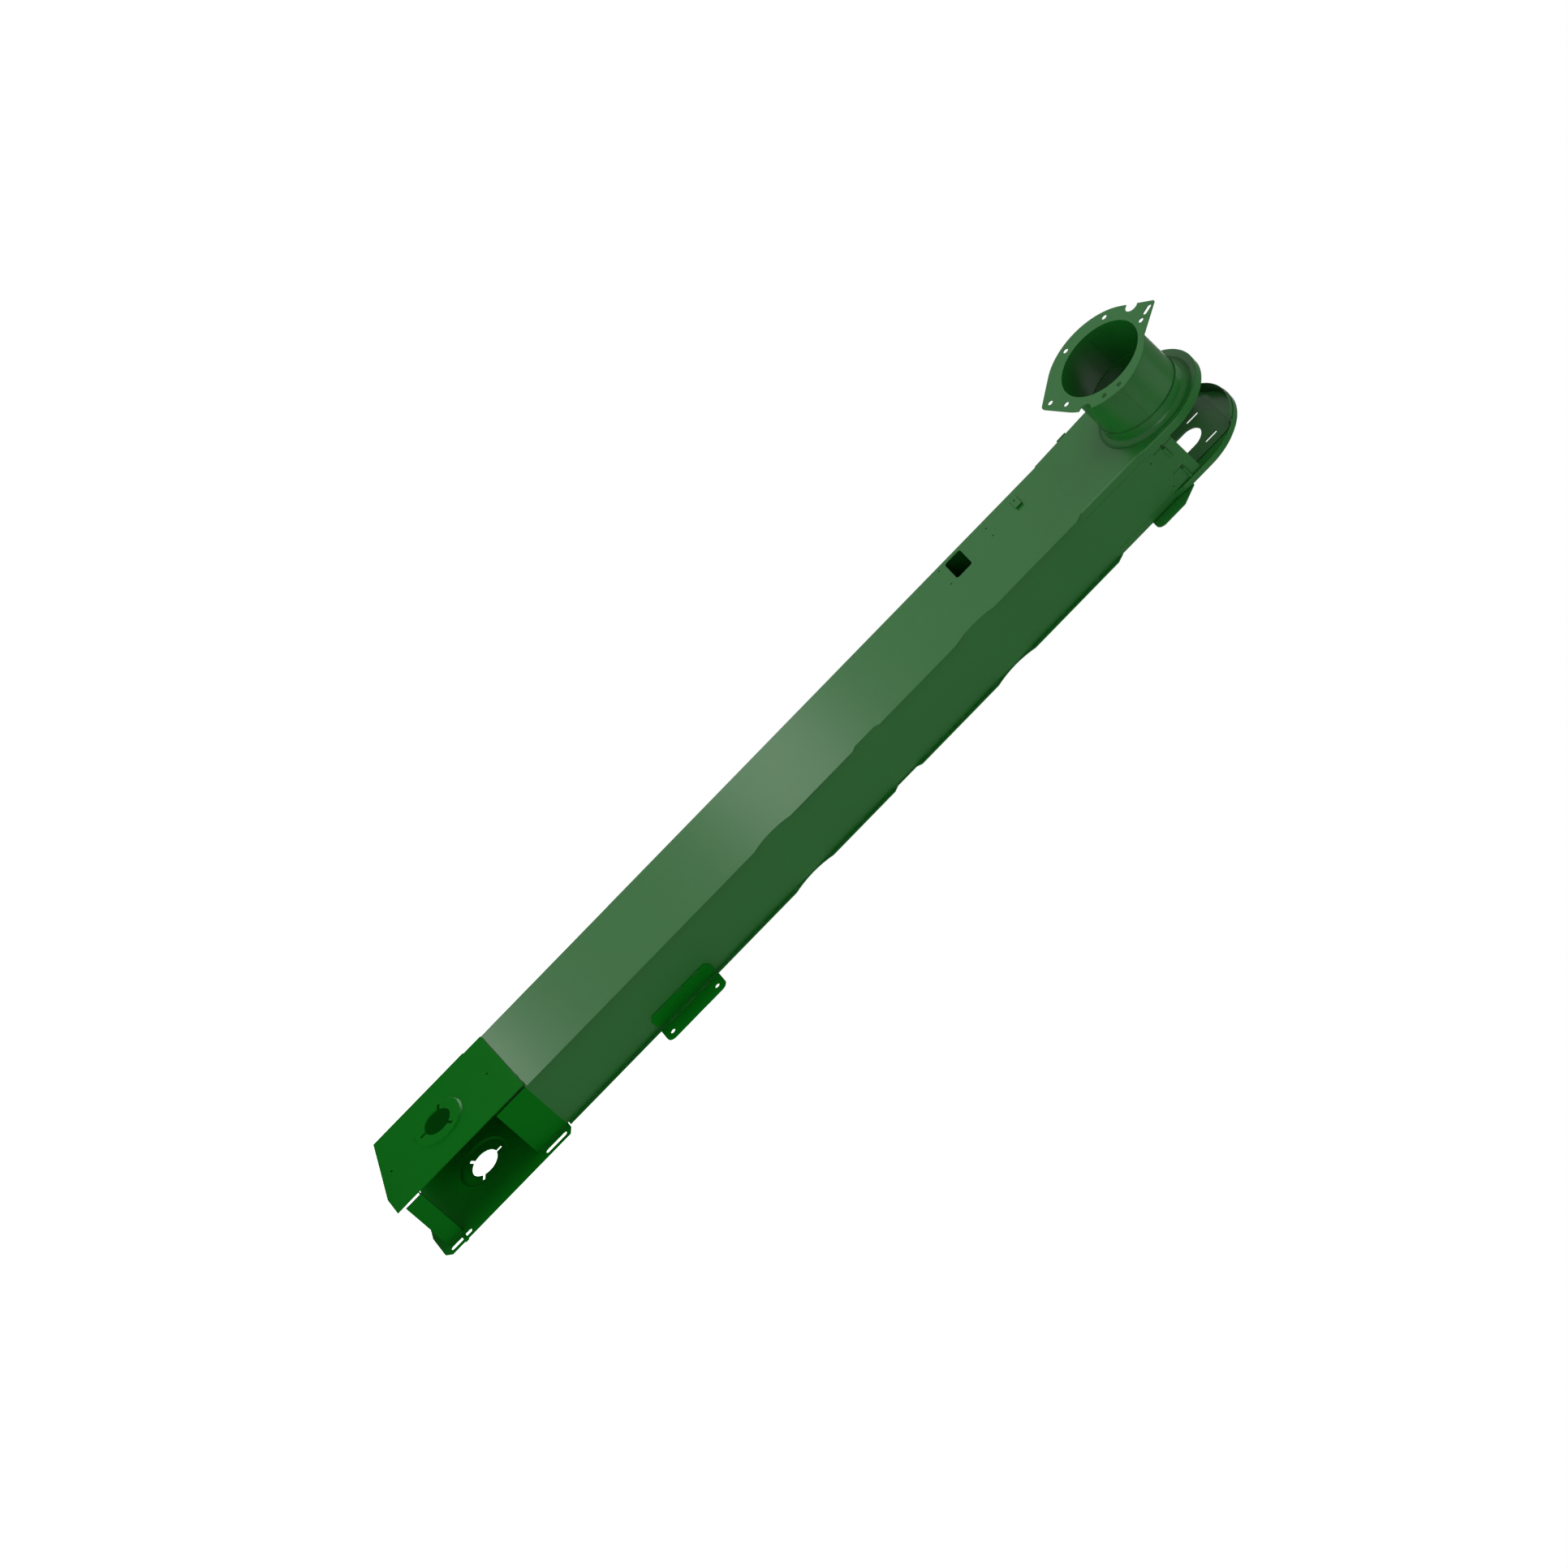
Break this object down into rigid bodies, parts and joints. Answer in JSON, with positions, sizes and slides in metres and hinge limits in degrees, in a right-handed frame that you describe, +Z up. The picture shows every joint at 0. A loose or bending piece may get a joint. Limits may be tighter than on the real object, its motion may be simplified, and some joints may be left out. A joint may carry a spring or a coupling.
{
  "type": "grain elevator housing",
  "caption": "Bare sheet-metal housing of an upright paddle-chain grain elevator, with boot, rectangular trunk, round-topped head and flanged side spout.",
  "frame": {"origin": "lower shaft axis, half way between the two boot plates", "axes": "+Z up the trunk towards the head, +X towards the front cover, -Y towards the spout"},
  "size_m": [0.3738, 0.3675, 2.8956],
  "materials": {
    "body_paint": "satin",
    "boot_paint": "satin",
    "inner_paint": "satin"
  },
  "bodies": {
    "root": {"bearing_plate": "inner_paint", "boot_back_plate": "boot_paint", "boot_far_plate": "boot_paint", "boot_lower_panel": "boot_paint", "boot_near_plate": "boot_paint", "boot_upper_panel": "boot_paint", "bracket_pad": "boot_paint", "chain_divider": "inner_paint", "front_cover": "body_paint", "head_back_pad": "body_paint", "head_back_sheet": "body_paint", "head_far_plate": "body_paint", "head_lug": "body_paint", "head_near_plate": "body_paint", "head_panel": "body_paint", "head_rim_liner": "inner_paint", "panel_loops": "body_paint", "sensor_tab": "body_paint", "side_bracket": "boot_paint", "slot_strap": "boot_paint", "spout_collar": "body_paint", "spout_flange": "body_paint", "spout_tube_lower": "body_paint", "spout_tube_upper": "body_paint", "trunk_back_wall": "body_paint", "trunk_far_side": "body_paint", "trunk_near_side": "body_paint"}
  },
  "joints": []
}
